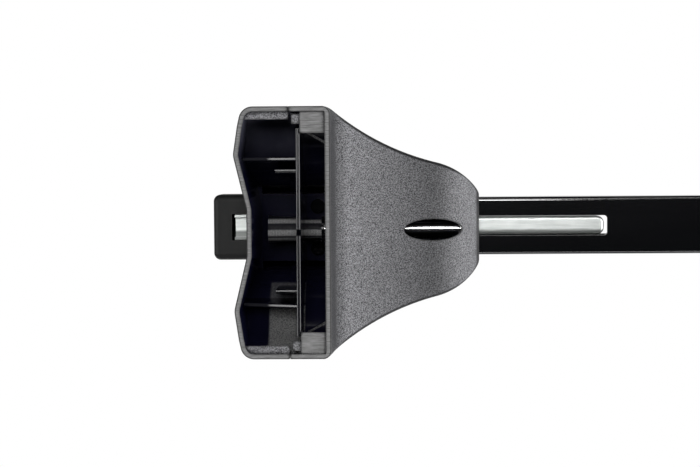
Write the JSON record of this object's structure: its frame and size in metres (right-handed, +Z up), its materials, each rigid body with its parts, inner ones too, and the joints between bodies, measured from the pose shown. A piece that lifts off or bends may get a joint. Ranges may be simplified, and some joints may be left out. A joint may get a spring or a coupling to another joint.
{
  "type": "roof rack crossbar",
  "caption": "Black box-section roof rack crossbar on flared grey feet with pull-off covers; turning a bolt in each foot draws a slotted strip that pulls in the clamp hook.",
  "frame": {"origin": "midway between the feet, on the plane that their rims stand on", "axes": "+X along the bar, +Y along the vehicle, +Z up"},
  "size_m": [1.186, 0.128, 0.1051],
  "materials": {
    "bar_coat": "gloss black powder coat",
    "grey_plastic": "fine grained dark grey moulding",
    "black_plastic": "smooth black moulding",
    "cap_plastic": "fine grained black moulding",
    "zinc_steel": "zinc plated",
    "bolt_steel": "bright plated steel",
    "black_steel": "black oxide"
  },
  "bodies": {
    "rack": {"bar_tube": "bar_coat", "left_foot_body": "grey_plastic", "left_inner_frame": "black_plastic", "left_bolt_sleeve": "black_plastic", "left_bolt_washer": "bolt_steel", "left_clamp_screws": "black_steel", "left_end_cap": "cap_plastic", "right_foot_body": "grey_plastic", "right_inner_frame": "black_plastic", "right_bolt_sleeve": "black_plastic", "right_bolt_washer": "bolt_steel", "right_clamp_screws": "black_steel", "right_end_cap": "cap_plastic"},
    "left_cover": {"left_outer_cover": "grey_plastic"},
    "left_bolt": {"left_tension_bolt": "bolt_steel", "left_retaining_clip": "bolt_steel"},
    "left_draw": {"left_draw_nut": "bolt_steel", "left_draw_bracket": "zinc_steel", "left_tension_strip": "zinc_steel", "left_hook_channel": "zinc_steel", "left_strip_rivets": "bolt_steel"},
    "right_cover": {"right_outer_cover": "grey_plastic"},
    "right_bolt": {"right_tension_bolt": "bolt_steel", "right_retaining_clip": "bolt_steel"},
    "right_draw": {"right_draw_nut": "bolt_steel", "right_draw_bracket": "zinc_steel", "right_tension_strip": "zinc_steel", "right_hook_channel": "zinc_steel", "right_strip_rivets": "bolt_steel"}
  },
  "joints": [
    {"name": "left_cover_pull", "type": "slide", "parent": "rack", "child": "left_cover", "axis": [-1, 0, 0], "range_m": [0, 0.06]},
    {"name": "left_bolt_turn", "type": "hinge", "parent": "rack", "child": "left_bolt", "pos_m": [-0.5458, 0, 0.05], "axis": [1, 0, 0], "range_deg": [-2310, 366]},
    {"name": "left_strip_draw", "type": "slide", "parent": "rack", "child": "left_draw", "axis": [1, 0, 0], "range_m": [-0.008, 0.00125]},
    {"name": "right_cover_pull", "type": "slide", "parent": "rack", "child": "right_cover", "axis": [1, 0, 0], "range_m": [0, 0.06]},
    {"name": "right_bolt_turn", "type": "hinge", "parent": "rack", "child": "right_bolt", "pos_m": [0.5458, 0, 0.05], "axis": [-1, 0, 0], "range_deg": [-2310, 366]},
    {"name": "right_strip_draw", "type": "slide", "parent": "rack", "child": "right_draw", "axis": [-1, 0, 0], "range_m": [-0.008, 0.00125]}
  ],
  "couplings": [
    {"joint": "left_bolt_turn", "follows": "left_strip_draw", "rad_per_m": 5026.5},
    {"joint": "right_bolt_turn", "follows": "right_strip_draw", "rad_per_m": 5026.5}
  ]
}
